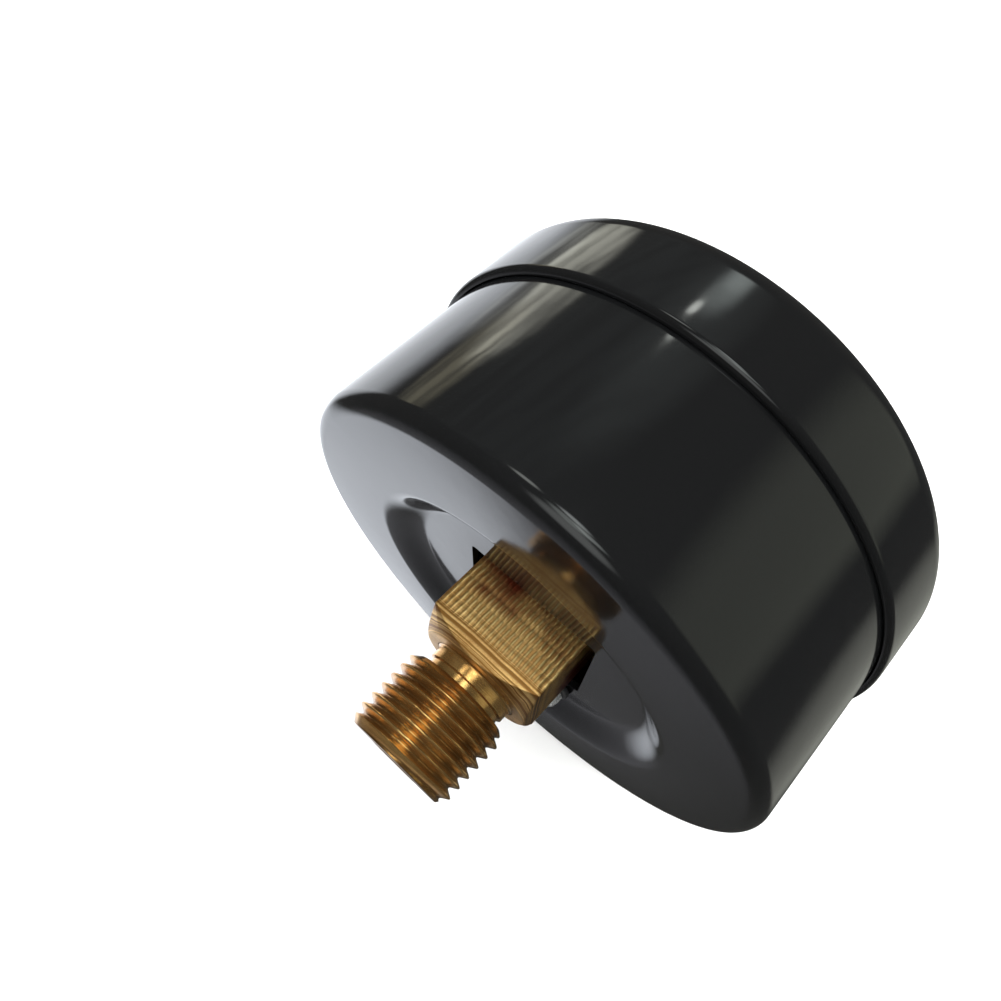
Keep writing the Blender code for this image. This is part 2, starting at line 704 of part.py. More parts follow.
def main():
    for thing in list(bpy.data.objects):
        bpy.data.objects.remove(thing)
    blackPaint = makeMaterial("black paint", (0.012, 0.012, 0.013), 0.12, 0.0)
    brass = makeMaterial("brass", (0.72, 0.5, 0.22), 0.28, 1.0)
    bronze = makeMaterial("phosphor bronze", (0.62, 0.38, 0.2), 0.35, 1.0)
    steel = makeMaterial("zinc steel", (0.62, 0.62, 0.6), 0.3, 1.0)
    glass = makeMaterial("window glass", (0.85, 0.9, 0.9), 0.05, 0.0)
    rubber = makeMaterial("black rubber", (0.03, 0.03, 0.03), 0.8, 0.0)
    white = makeMaterial("dial white", (0.85, 0.85, 0.83), 0.45, 0.0)
    black = makeMaterial("pointer black", (0.02, 0.02, 0.02), 0.4, 0.0)

    makeCase(blackPaint)
    makeBezel(blackPaint)
    makeWindow(glass)
    makeGasket(rubber)
    makeDial(white)
    makePointer(black)
    makePointerBush(brass)
    stopSeat = [(0, dialBack + 0.1), (stopPinRadius, dialBack + 0.1), (stopPinRadius, pointerFront + 0.3)]
    lathe("stop_pin", stopSeat + [(0, pointerFront + 0.3)], brass, stopPinPlace(), 8)
    makeSocket(brass)
    makeThrottle(brass)
    makeBourdonTube(bronze)
    makeTubeTip(brass)
    makeLink(brass)
    makePin("tip_pin", tuple(tipPivot), steel)
    makePin("tail_pin", tuple(tailPivot), steel)
    makeSector(brass)
    turnAbout(pivotShaft("sector_shaft", tuple(sectorPivot), shaftRadius, steel), tuple(sectorPivot))
    makePinion(brass)
    makeCollet(brass)
    makeHairspring(bronze)
    makeStud(brass)
    makePlates(brass)
    for i, place in enumerate(pillarPlaces):
        makePillar(f"pillar_{i + 1}", place, brass)
    for i, place in enumerate(movementScrewPlaces):
        screw(f"movement_screw_{i + 1}", place, backPlateFront + seatGap, 1, movementScrewSizes, steel)
    for i, place in enumerate(caseScrewPlaces):
        screw(f"case_screw_{i + 1}", place, washerBack - seatGap, -1, caseScrewSizes, steel)
        makeWasher(f"case_washer_{i + 1}", place, rubber)
    for i, side in enumerate((-1, 1)):
        post = (side * dialScrewOffset, 0)
        makePost(f"dial_post_{i + 1}", post, brass)
        screw(f"dial_screw_{i + 1}", post, dialFront + seatGap, 1, dialScrewSizes, steel)


main()
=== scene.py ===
import json
import math

import bmesh
import bpy
from mathutils import Matrix, Vector


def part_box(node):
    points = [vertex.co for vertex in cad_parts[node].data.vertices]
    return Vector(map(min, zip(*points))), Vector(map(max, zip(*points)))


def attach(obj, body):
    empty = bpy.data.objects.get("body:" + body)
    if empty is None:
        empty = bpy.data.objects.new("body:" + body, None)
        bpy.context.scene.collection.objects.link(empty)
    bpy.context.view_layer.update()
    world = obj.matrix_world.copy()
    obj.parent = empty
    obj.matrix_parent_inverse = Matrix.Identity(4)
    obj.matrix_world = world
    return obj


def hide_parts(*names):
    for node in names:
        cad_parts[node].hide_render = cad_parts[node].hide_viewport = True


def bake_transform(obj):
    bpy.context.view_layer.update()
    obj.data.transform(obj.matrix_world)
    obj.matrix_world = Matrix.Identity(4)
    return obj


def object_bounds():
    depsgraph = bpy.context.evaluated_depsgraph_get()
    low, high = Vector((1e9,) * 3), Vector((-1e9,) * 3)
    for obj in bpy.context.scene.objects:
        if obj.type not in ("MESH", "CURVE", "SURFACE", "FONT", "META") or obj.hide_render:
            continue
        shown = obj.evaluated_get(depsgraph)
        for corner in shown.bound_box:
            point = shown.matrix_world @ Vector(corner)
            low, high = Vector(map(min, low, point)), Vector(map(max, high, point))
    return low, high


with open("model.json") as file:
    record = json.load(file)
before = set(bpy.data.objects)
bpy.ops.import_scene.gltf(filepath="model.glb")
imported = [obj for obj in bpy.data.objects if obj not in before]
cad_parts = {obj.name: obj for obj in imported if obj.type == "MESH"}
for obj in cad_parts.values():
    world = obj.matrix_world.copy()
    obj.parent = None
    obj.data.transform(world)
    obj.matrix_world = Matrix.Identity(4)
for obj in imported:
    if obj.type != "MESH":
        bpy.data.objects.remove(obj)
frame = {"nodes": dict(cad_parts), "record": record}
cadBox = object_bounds()
print("frame loaded:", len(frame["nodes"]), "nodes")

mm = 0.001
body = "gauge_body"

caseLow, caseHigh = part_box("case")
bezelLow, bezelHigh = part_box("bezel")
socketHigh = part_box("socket")[1]
windowLow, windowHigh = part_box("window")
dialLow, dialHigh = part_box("dial")
gasketLow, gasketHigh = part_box("window_gasket")
caseBack = caseHigh.y
caseRadius = caseHigh.x
bezelRadius = bezelHigh.x


# small tools for meshes

def nameObject(name, mesh):
    thing = bpy.data.objects.new(name, mesh)
    bpy.context.scene.collection.objects.link(thing)
    return thing


def closeMesh(name, bm, sharpAngle=32):
    bmesh.ops.remove_doubles(bm, verts=bm.verts, dist=1e-7)
    bmesh.ops.recalc_face_normals(bm, faces=bm.faces)
    mesh = bpy.data.meshes.new(name)
    bm.to_mesh(mesh)
    bm.free()
    mesh.shade_smooth()
    mesh.set_sharp_from_angle(angle=math.radians(sharpAngle))
    return nameObject(name, mesh)


def spinOutline(name, outline, steps=192, centre=(0.0, 0.0), sharpAngle=32):
    # outline holds (radius, y) pairs in metres and closes on itself
    bm = bmesh.new()
    verts = [bm.verts.new((centre[0] + radius, y, centre[1])) for radius, y in outline]
    edges = []
    for i, vert in enumerate(verts):
        following = verts[(i + 1) % len(verts)]
        if outline[i][0] > 0 or outline[(i + 1) % len(verts)][0] > 0:
            edges.append(bm.edges.new((vert, following)))
    bmesh.ops.spin(
        bm, geom=verts + edges, cent=(centre[0], 0, centre[1]), axis=(0, 1, 0),
        angle=math.tau, steps=steps, use_duplicate=False,
    )
    return closeMesh(name, bm, sharpAngle)


def liftOutline(name, outline, low, high, sharpAngle=32):
    # outline holds (x, z) pairs, lifted from y = low to y = high
    bm = bmesh.new()
    face = bm.faces.new([bm.verts.new((x, low, z)) for x, z in outline])
    lifted = bmesh.ops.extrude_face_region(bm, geom=[face])["geom"]
    moved = [item for item in lifted if isinstance(item, bmesh.types.BMVert)]
    bmesh.ops.translate(bm, verts=moved, vec=(0, high - low, 0))
    return closeMesh(name, bm, sharpAngle)


def arcPoints(centreRadius, centreY, radius, start, end, steps):
    points = []
    for i in range(steps + 1):
        angle = math.radians(start + (end - start) * i / steps)
        points.append((centreRadius + radius * math.cos(angle), centreY + radius * math.sin(angle)))
    return points


def roundSquare(halfSide, corner, steps=8):
    points = []
    for quarter in range(4):
        middle = math.radians(45 + 90 * quarter)
        cx = math.copysign(halfSide - corner, math.cos(middle))
        cz = math.copysign(halfSide - corner, math.sin(middle))
        for i in range(steps + 1):
            angle = math.radians(90 * quarter + 90 * i / steps)
            points.append((cx + corner * math.cos(angle), cz + corner * math.sin(angle)))
    return points


def circlePoints(x, z, radius, steps=48):
    points = []
    for i in range(steps):
        angle = math.tau * i / steps
        points.append((x + radius * math.cos(angle), z + radius * math.sin(angle)))
    return points


def cutAway(thing, cutter, operation="DIFFERENCE"):
    step = thing.modifiers.new(cutter.name, "BOOLEAN")
    step.operation = operation
    step.solver = "EXACT"
    step.object = cutter
    settle(thing, 30)
    bpy.data.objects.remove(cutter)


def softenEdges(thing, width, segments=3, angle=35):
    step = thing.modifiers.new("softEdges", "BEVEL")
    step.width = width
    step.segments = segments
    step.limit_method = "ANGLE"
    step.angle_limit = math.radians(angle)
    settle(thing, 20)


def settle(thing, sharpAngle):
    # keeps what the modifiers make as the object's own mesh
    bpy.context.view_layer.update()
    shape = thing.evaluated_get(bpy.context.evaluated_depsgraph_get())
    mesh = bpy.data.meshes.new_from_object(shape)
    thing.modifiers.clear()
    thing.data = mesh
    mesh.shade_smooth()
    mesh.set_sharp_from_angle(angle=math.radians(sharpAngle))


def fit(thing, bodyName, slotName, material, *nodes):
    if material:
        thing.data.materials.clear()
        thing.data.materials.append(material)
    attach(thing, bodyName)
    if nodes:
        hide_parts(*nodes)
    return thing


# small tools for shaders

def newMaterial(name):
    material = bpy.data.materials.new(name)
    material.use_nodes = True
    tree = material.node_tree
    return material, tree, tree.nodes["Principled BSDF"]


def addNode(tree, kind, **settings):
    node = tree.nodes.new("ShaderNode" + kind)
    for name, value in settings.items():
        if name in node.inputs:
            node.inputs[name].default_value = value
        else:
            setattr(node, name, value)
    return node


def join(tree, source, target):
    tree.links.new(source, target)


def addMath(tree, operation, first, second=None, clamp=False):
    node = addNode(tree, "Math", operation=operation, use_clamp=clamp)
    for i, value in enumerate((first, second)):
        if isinstance(value, (int, float)):
            node.inputs[i].default_value = value
        elif value is not None:
            join(tree, value, node.inputs[i])
    return node.outputs[0]


def addRange(tree, value, low, high, newLow, newHigh):
    node = addNode(tree, "MapRange")
    for i, number in enumerate((low, high, newLow, newHigh)):
        node.inputs[i + 1].default_value = number
    join(tree, value, node.inputs[0])
    return node.outputs[0]


def addMix(tree, factor, first, second, blend="MIX"):
    node = addNode(tree, "Mix", data_type="RGBA", blend_type=blend)
    if isinstance(factor, (int, float)):
        node.inputs[0].default_value = factor
    else:
        join(tree, factor, node.inputs[0])
    for socket, value in ((node.inputs[6], first), (node.inputs[7], second)):
        if isinstance(value, tuple):
            socket.default_value = (*value, 1)
        else:
            join(tree, value, socket)
    return node.outputs[2]


def newGroup(name, inputs, outputs):
    group = bpy.data.node_groups.new(name, "ShaderNodeTree")
    for label, kind, value in inputs:
        socket = group.interface.new_socket(label, in_out="INPUT", socket_type=kind)
        if value is not None:
            socket.default_value = value
    for label, kind in outputs:
        group.interface.new_socket(label, in_out="OUTPUT", socket_type=kind)
    return group, group.nodes.new("NodeGroupInput"), group.nodes.new("NodeGroupOutput")


def useGroup(tree, group, **values):
    node = tree.nodes.new("ShaderNodeGroup")
    node.node_tree = group
    for name, value in values.items():
        node.inputs[name].default_value = value
    return node


number = "NodeSocketFloat"
vector = "NodeSocketVector"


def makeSpeckleGroup():
    # soft blotches and fine grain in one mask, in object millimetres
    inputs = [("Blotch size", number, 6.0), ("Grain size", number, 0.3), ("Grain share", number, 0.4)]
    group, start, end = newGroup("speckle", inputs, [("Mask", number), ("Grain", number)])
    place = addNode(group, "TexCoord")
    masks = []
    for label, detail in (("Blotch size", 4.0), ("Grain size", 2.0)):
        noise = addNode(group, "TexNoise", Detail=detail, Roughness=0.6)
        join(group, place.outputs["Object"], noise.inputs["Vector"])
        join(group, addMath(group, "DIVIDE", 1000.0, start.outputs[label]), noise.inputs["Scale"])
        masks.append(noise.outputs["Fac"])
    mixed = addNode(group, "Mix", data_type="FLOAT")
    join(group, start.outputs["Grain share"], mixed.inputs[0])
    join(group, masks[0], mixed.inputs[2])
    join(group, masks[1], mixed.inputs[3])
    join(group, mixed.outputs[0], end.inputs["Mask"])
    join(group, masks[1], end.inputs["Grain"])
    return group


def makeToolMarkGroup():
    # a cutter's parallel marks along a direction, wandering a little
    inputs = [("Along", vector, (0.0, 1.0, 0.0)), ("Spacing", number, 0.5), ("Wander", number, 0.2)]
    group, start, end = newGroup("toolMarks", inputs, [("Height", number), ("Coarse", number)])
    place = addNode(group, "TexCoord")
    noise = addNode(group, "TexNoise", Scale=260.0, Detail=2.0)
    join(group, place.outputs["Object"], noise.inputs["Vector"])
    along = addNode(group, "VectorMath", operation="DOT_PRODUCT")
    join(group, place.outputs["Object"], along.inputs[0])
    join(group, start.outputs["Along"], along.inputs[1])
    reach = addMath(group, "MULTIPLY", along.outputs["Value"], 1000.0)
    centred = addMath(group, "SUBTRACT", noise.outputs["Fac"], 0.5)
    shift = addMath(group, "MULTIPLY", centred, start.outputs["Wander"])
    phase = addMath(group, "DIVIDE", addMath(group, "ADD", reach, shift), start.outputs["Spacing"])
    wave = addMath(group, "SINE", addMath(group, "MULTIPLY", phase, math.tau))
    join(group, addRange(group, wave, -1, 1, 0, 1), end.inputs["Height"])
    slow = addNode(group, "TexNoise", noise_dimensions="1D", Scale=0.8, Detail=3.0)
    join(group, phase, slow.inputs["W"])
    join(group, slow.outputs["Fac"], end.inputs["Coarse"])
    return group


speckle = makeSpeckleGroup()
toolMarks = makeToolMarkGroup()


def bumpInto(tree, shader, height, strength, distance):
    bump = addNode(tree, "Bump", Strength=strength, Distance=distance)
    join(tree, height, bump.inputs["Height"])
    join(tree, bump.outputs["Normal"], shader.inputs["Normal"])


enamel = {
    "colour": (0.0045, 0.0047, 0.005),
    "dustColour": (0.03, 0.03, 0.031),
    "roughness": (0.06, 0.12),
    "ripple": 0.01,
    "index": 1.5,
}


def makeEnamel():
    material, tree, shader = newMaterial("blackEnamel")
    film = useGroup(tree, speckle, **{"Blotch size": 14.0, "Grain size": 0.2, "Grain share": 0.2})
    dust = addRange(tree, film.outputs["Grain"], 0.74, 0.84, 0.0, 0.3)
    join(tree, addMix(tree, dust, enamel["colour"], enamel["dustColour"]), shader.inputs["Base Color"])
    low, high = enamel["roughness"]
    rough = addRange(tree, film.outputs["Mask"], 0.35, 0.7, low, high)
    rough = addMath(tree, "ADD", rough, addMath(tree, "MULTIPLY", dust, 0.2))
    join(tree, rough, shader.inputs["Roughness"])
    shader.inputs["IOR"].default_value = enamel["index"]
    peel = addNode(tree, "TexNoise", Scale=420.0, Detail=1.0)
    place = addNode(tree, "TexCoord")
    join(tree, place.outputs["Object"], peel.inputs["Vector"])
    bumpInto(tree, shader, peel.outputs["Fac"], enamel["ripple"], 0.001)
    return material


brassLook = {
    "colour": (0.95, 0.64, 0.25),
    "deep": (0.52, 0.24, 0.06),
    "stain": (0.22, 0.045, 0.018),
    # painted shade for the roots of the thread
    "rootShade": (0.15, 0.065, 0.02),
    "film": 0.06,  # the share of dull oxide that doesn't mirror
}


def makeBrass(name, along, spacing, wander, strength, roughness, rootShadeBelow=None):
    material, tree, shader = newMaterial(name)
    shader.inputs["Metallic"].default_value = 1.0 - brassLook["film"]
    film = useGroup(tree, speckle, **{"Blotch size": 5.0, "Grain size": 0.18, "Grain share": 0.3})
    marks = useGroup(tree, toolMarks, Along=along, Spacing=spacing, Wander=wander)
    tone = addRange(tree, film.outputs["Mask"], 0.35, 0.68, 0.0, 1.0)
    colour = addMix(tree, tone, brassLook["colour"], brassLook["deep"])
    shade = addMath(tree, "MULTIPLY", marks.outputs["Coarse"], 0.6)
    colour = addMix(tree, shade, colour, brassLook["deep"])
    if rootShadeBelow is not None:
        # painted shade: darker brown towards the roots of the thread, in patches
        place = addNode(tree, "TexCoord")
        flat = addNode(tree, "VectorMath", operation="MULTIPLY")
        join(tree, place.outputs["Object"], flat.inputs[0])
        flat.inputs[1].default_value = (1.0, 0.0, 1.0)
        reach = addNode(tree, "VectorMath", operation="LENGTH")
        join(tree, flat.outputs[0], reach.inputs[0])
        low, high = rootShadeBelow
        rootShade = addRange(tree, reach.outputs["Value"], low, high, 0.75, 0.0)
        patchy = addRange(tree, film.outputs["Mask"], 0.3, 0.6, 0.45, 1.0)
        rootShade = addMath(tree, "MULTIPLY", rootShade, patchy)
        colour = addMix(tree, rootShade, colour, brassLook["rootShade"])
    join(tree, colour, shader.inputs["Base Color"])
    low, high = roughness
    join(tree, addRange(tree, film.outputs["Mask"], 0.3, 0.7, low, high), shader.inputs["Roughness"])
    height = addMath(tree, "MULTIPLY", film.outputs["Grain"], 0.6)
    height = addMath(tree, "ADD", marks.outputs["Height"], height)
    height = addMath(tree, "ADD", height, marks.outputs["Coarse"])
    bumpInto(tree, shader, height, strength, 0.00004)
    return material


milling = {
    # sizes in millimetres, as the shader measures them
    "tickSpacing": 0.58,
    "tickDepth": 0.34,
    # painted highlight on the cutter ticks
    "tickHighlight": (1.0, 0.74, 0.3),
    "tickEnd": (2.8, 4.2),  # how far behind the case the ticks fade
    "rowSpacing": 1.5,
    "streakSpacing": 0.6,
    "streakStart": (1.6, 3.8),
    "streakColour": (0.28, 0.12, 0.03),
    "stainReach": 1.3,
    "wander": 1.1,
    "roughness": (0.3, 0.46),
}


def makeMilledBrass():
    # the drawn bar's flats: rows of cutter ticks near the case, with a painted highlight on the ticks and
    # painted shade between them, longer streaks towards the chamfer
    material, tree, shader = newMaterial("milledBrass")
    shader.inputs["Metallic"].default_value = 1.0 - brassLook["film"]
    film = useGroup(tree, speckle, **{"Blotch size": 4.0, "Grain size": 0.16, "Grain share": 0.35})
    place = addNode(tree, "TexCoord")

    def times(first, second):
        return addMath(tree, "MULTIPLY", first, second)

    def plus(first, second):
        return addMath(tree, "ADD", first, second)

    # across runs over each flat, behind runs away from the case
    split = addNode(tree, "SeparateXYZ")
    join(tree, place.outputs["Object"], split.inputs[0])
    normal = addNode(tree, "NewGeometry")
    facing = addNode(tree, "SeparateXYZ")
    join(tree, normal.outputs["Normal"], facing.inputs[0])
    onSide = addMath(tree, "GREATER_THAN", addMath(tree, "ABSOLUTE", facing.outputs["X"]), 0.7)
    across = addNode(tree, "Mix", data_type="FLOAT")
    join(tree, onSide, across.inputs[0])
    join(tree, split.outputs["X"], across.inputs[2])
    join(tree, split.outputs["Z"], across.inputs[3])
    behind = times(addMath(tree, "SUBTRACT", split.outputs["Y"], caseBack), 1000.0)
    wander = addNode(tree, "TexNoise", Scale=180.0, Detail=2.0)
    join(tree, place.outputs["Object"], wander.inputs["Vector"])
    shift = times(addMath(tree, "SUBTRACT", wander.outputs["Fac"], 0.5), milling["wander"])

    # the ticks, in rows
    step = addMath(tree, "DIVIDE", times(across.outputs[0], 1000.0), milling["tickSpacing"])
    tickWave = addMath(tree, "SINE", times(plus(step, shift), math.tau))
    rowPlace = addMath(tree, "DIVIDE", plus(behind, times(shift, 0.35)), milling["rowSpacing"])
    rowWave = addMath(tree, "SINE", times(rowPlace, math.tau))
    rows = addRange(tree, rowWave, -0.9, 0.1, 0.4, 1.0)
    fadeStart, fadeEnd = milling["tickEnd"]
    rows = times(rows, addRange(tree, behind, fadeEnd, fadeStart, 0.0, 1.0))
    ticks = times(rows, addRange(tree, tickWave, -0.4, 1.0, 0.0, 1.0))
    hollowShade = times(addMath(tree, "SUBTRACT", 1.0, ticks), rows)

    # the streaks
    streak = addNode(tree, "TexNoise", noise_dimensions="1D", Scale=1.0, Detail=4.0, Roughness=0.7)
    lane = addMath(tree, "DIVIDE", plus(behind, times(shift, 0.5)), milling["streakSpacing"])
    join(tree, lane, streak.inputs["W"])
    lines = addRange(tree, streak.outputs["Fac"], 0.42, 0.56, 0.0, 1.0)
    lines = times(lines, addRange(tree, behind, *milling["streakStart"], 0.3, 0.95))

    # the reddish stain where the block leaves the case
    edge = plus(behind, times(shift, 1.6))
    blotch = addNode(tree, "TexNoise", Scale=170.0, Detail=3.0)
    join(tree, place.outputs["Object"], blotch.inputs["Vector"])
    stain = addRange(tree, edge, milling["stainReach"], 0.0, 0.0, 1.0)
    stain = times(stain, addRange(tree, blotch.outputs["Fac"], 0.42, 0.6, 0.1, 1.0))

    tone = addRange(tree, film.outputs["Mask"], 0.38, 0.66, 0.0, 0.8)
    colour = addMix(tree, tone, brassLook["colour"], brassLook["deep"])
    colour = addMix(tree, lines, colour, milling["streakColour"])
    # painted shade in the hollows between the ticks, then a painted highlight on the ticks
    colour = addMix(tree, times(hollowShade, 0.55), colour, brassLook["deep"])
    colour = addMix(tree, times(ticks, 0.9), colour, milling["tickHighlight"])
    colour = addMix(tree, stain, colour, brassLook["stain"])
    join(tree, colour, shader.inputs["Base Color"])
    rough = addRange(tree, film.outputs["Mask"], 0.3, 0.7, *milling["roughness"])
    join(tree, rough, shader.inputs["Roughness"])
    height = plus(times(ticks, 1.4), streak.outputs["Fac"])
    height = plus(height, times(film.outputs["Grain"], 0.4))
    bumpInto(tree, shader, height, milling["tickDepth"], 0.00022)
    return material


steelLook = {
    "bright": (0.92, 0.92, 0.9),
    "dull": (0.66, 0.67, 0.66),
    "metallic": 0.7,  # the plating has a dull film
    "roughness": (0.16, 0.36),
}


def makeSteel():
    material, tree, shader = newMaterial("zincSteel")
    shader.inputs["Metallic"].default_value = steelLook["metallic"]
    film = useGroup(tree, speckle, **{"Blotch size": 1.6, "Grain size": 0.12, "Grain share": 0.4})
    tone = addRange(tree, film.outputs["Mask"], 0.35, 0.65, 0.0, 1.0)
    join(tree, addMix(tree, tone, steelLook["bright"], steelLook["dull"]), shader.inputs["Base Color"])
    rough = addRange(tree, film.outputs["Mask"], 0.3, 0.7, *steelLook["roughness"])
    join(tree, rough, shader.inputs["Roughness"])
    bumpInto(tree, shader, film.outputs["Grain"], 0.25, 0.00003)
    return material


def makeGlass():
    material, tree, shader = newMaterial("windowGlass")
    shader.inputs["Base Color"].default_value = (0.96, 0.985, 0.975, 1)
    shader.inputs["Transmission Weight"].default_value = 1.0
    shader.inputs["IOR"].default_value = 1.5
    film = useGroup(tree, speckle, **{"Blotch size": 18.0, "Grain size": 1.0, "Grain share": 0.3})
    join(tree, addRange(tree, film.outputs["Mask"], 0.4, 0.75, 0.0, 0.05), shader.inputs["Roughness"])
    return material


def makePlain(name, colour, second, roughness, bump, blotch=4.0, grain=0.15):
    material, tree, shader = newMaterial(name)
    film = useGroup(tree, speckle, **{"Blotch size": blotch, "Grain size": grain, "Grain share": 0.4})
    tone = addRange(tree, film.outputs["Mask"], 0.35, 0.68, 0.0, 1.0)
    join(tree, addMix(tree, tone, colour, second), shader.inputs["Base Color"])
    low, high = roughness
    join(tree, addRange(tree, film.outputs["Mask"], 0.3, 0.7, low, high), shader.inputs["Roughness"])
    bumpInto(tree, shader, film.outputs["Grain"], bump, 0.00005)
    return material


blackEnamel = makeEnamel()
milledBrass = makeMilledBrass()
turnedBrass = makeBrass("turnedBrass", (0.0, 1.0, 0.0), 0.11, 0.03, 0.1, (0.1, 0.2))
# the thread's brown painted shade reaches from 5.7 to 6.2 mm from its axis, darkest at the roots
threadBrass = makeBrass("threadBrass", (0.0, 1.0, 0.0), 0.1, 0.05, 0.12, (0.12, 0.24), (5.7 * mm, 6.2 * mm))
movementBrass = makeBrass("movementBrass", (0.7, 0.0, 0.7), 0.09, 0.3, 0.2, (0.25, 0.4))
bronze = makeBrass("phosphorBronze", (0.0, 1.0, 0.0), 0.2, 0.2, 0.15, (0.25, 0.38))
zincSteel = makeSteel()
windowGlass = makeGlass()
sealRubber = makePlain("sealRubber", (0.018, 0.018, 0.019), (0.04, 0.04, 0.04), (0.55, 0.8), 0.4)
dialEnamel = makePlain("dialEnamel", (0.86, 0.86, 0.84), (0.8, 0.8, 0.775), (0.35, 0.5), 0.12)
printInk = makePlain("printInk", (0.012, 0.012, 0.014), (0.03, 0.03, 0.03), (0.4, 0.6), 0.2, 2.0)
pointerBlack = makePlain("pointerBlack", (0.014, 0.014, 0.015), (0.03, 0.03, 0.031), (0.3, 0.5), 0.15, 2.0)
print("materials made")


# the case: a deep drawn cup with a pressed recess and a square hole

case = {
    "sheet": 0.8 * mm,
    "cornerRadius": 1.8 * mm,
    "recessEdge": 20.3 * mm,
    "recessFloor": 15.5 * mm,
    "recessDepth": 2.2 * mm,
    "holeHalf": 8.3 * mm,
    "holeCorner": 0.6 * mm,
    "screwPlaces": ((-4.6 * mm, -11.5 * mm), (4.6 * mm, -11.5 * mm)),
    "screwHole": 1.65 * mm,
    "cutDepth": 9 * mm,
}


def recessOutline(lift):
    # from the floor's edge up to the flat back, as one smooth slope
    points = []
    for i in range(21):
        share = i / 20
        smooth = share * share * (3 - 2 * share)
        radius = case["recessFloor"] + (case["recessEdge"] - case["recessFloor"]) * share
        points.append((radius, caseBack - case["recessDepth"] * (1 - smooth) - lift))
    return points


def makeCase():
    corner = caseRadius - case["cornerRadius"]
    rim = caseLow.y
    sheet = case["sheet"]
    outline = [(0, caseBack - case["recessDepth"])] + recessOutline(0)
    outline += arcPoints(corner, caseBack - case["cornerRadius"], case["cornerRadius"], 90, 0, 24)
    outline += [(caseRadius, rim + 0.1 * mm), (caseRadius - 0.1 * mm, rim), (caseRadius - sheet, rim)]
    outline += arcPoints(corner, caseBack - case["cornerRadius"], case["cornerRadius"] - sheet, 0, 90, 12)
    outline += list(reversed(recessOutline(sheet))) + [(0, caseBack - case["recessDepth"] - sheet)]
    shell = spinOutline("caseShell", outline, 256)
    through = caseBack - case["cutDepth"]
    square = roundSquare(case["holeHalf"], case["holeCorner"])
    cutAway(shell, liftOutline("hole", square, through, caseBack))
    for x, z in case["screwPlaces"]:
        outline = circlePoints(x, z, case["screwHole"])
        cutAway(shell, liftOutline("screwHole", outline, through, caseBack))
    fit(shell, body, "black_paint", blackEnamel, "case")


makeCase()
print("case made")


# the bezel: a ring crimped over the window, with a rolled rear edge

bezel = {
    "sheet": 0.8 * mm,
    "frontRadius": 3.5 * mm,
    "lip": 5.2 * mm,
    "rearRadius": 0.7 * mm,
}


def makeBezel():
    rear = bezelHigh.y
    front = bezelLow.y
    inner = bezelRadius - bezel["sheet"]
    corner = bezelRadius - bezel["frontRadius"]
    cornerY = front + bezel["frontRadius"]
    lip = bezelRadius - bezel["lip"]
    rearCorner = bezel["rearRadius"]
    outline = [(inner + 0.02 * mm, rear - 1.2 * mm), (inner, rear - 0.1 * mm), (inner + 0.06 * mm, rear)]
    outline += arcPoints(bezelRadius - rearCorner, rear - rearCorner, rearCorner, 90, 0, 14)
    outline += arcPoints(corner, cornerY, bezel["frontRadius"], 0, -90, 24)
    outline += arcPoints(lip + 0.25 * mm, front + 0.25 * mm, 0.25 * mm, -90, -270, 8)
    outline += arcPoints(corner, cornerY, bezel["frontRadius"] - bezel["sheet"], -90, 0, 12)
    ring = spinOutline("bezelRing", outline, 256)
    fit(ring, body, "black_paint", blackEnamel, "bezel")


makeBezel()
print("bezel made")


# the socket: a square block, a turned neck and a threaded inlet, all of one brass bar

socket = {
    "half": 7.0 * mm,
    "behind": 6.2 * mm,
    "chamferStart": 6.8 * mm,
    "chamferAngle": 30,
    "edge": 0.12 * mm,
    "neckRadius": 5.0 * mm,
    "neckLength": 2.3 * mm,
    "reliefDepth": 0.35 * mm,
    "reliefLength": 0.8 * mm,
    "threadRadius": 6.58 * mm,
    "pitch": 1.337 * mm,
    "threadDepth": 0.856 * mm,
    "leadIn": 1.1 * mm,
    "bore": 2.6 * mm,
    "boreChamfer": 0.5 * mm,
}


def makeBlock():
    half = socket["half"]
    rear = caseBack + socket["behind"]
    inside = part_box("movement_back_plate")[1].y + 0.1 * mm
    square = [(-half, -half), (half, -half), (half, half), (-half, half)]
    block = liftOutline("socketBlock", square, inside, rear)
    slope = math.tan(math.radians(socket["chamferAngle"]))
    reach = half * 1.6
    start = socket["chamferStart"]
    turned = [(0, rear), (start, rear), (reach, rear - (reach - start) * slope)]
    turned += [(reach, inside - mm), (0, inside - mm)]
    cutAway(block, spinOutline("chamfer", turned, 256), "INTERSECT")
    softenEdges(block, socket["edge"], 2, 20)
    hole = [(0, inside + mm), (socket["bore"], inside + mm), (socket["bore"], rear + mm), (0, rear + mm)]
    cutAway(block, spinOutline("bore", hole, 64))
    fit(block, body, "brass", milledBrass, "socket")


def makeNeck():
    root = caseBack + socket["behind"]
    end = root + socket["neckLength"]
    radius = socket["neckRadius"]
    relief = radius - socket["reliefDepth"]
    step = end - socket["reliefLength"]
    bore = socket["bore"]
    outline = [(bore, root - 0.4 * mm), (radius + 0.4 * mm, root - 0.4 * mm), (radius + 0.4 * mm, root)]
    outline += arcPoints(radius + 0.3 * mm, root + 0.3 * mm, 0.3 * mm, -90, -180, 6)
    outline += [(radius, step - 0.15 * mm), (relief, step), (relief, end)]
    outline += [(relief, end + mm), (bore, end + mm)]
    fit(spinOutline("socketNeck", outline, 128), body, "brass", turnedBrass, "socket")


def threadProfile(share):
    # a rounded 55 degree thread: 0 at the root, 1 at the crest
    wave = 0.5 - 0.5 * math.cos(math.tau * share)
    straight = 1 - abs(2 * share - 1)
    return max(0.0, min(1.0, 0.25 * wave + 0.75 * (straight * 1.35 - 0.175)))


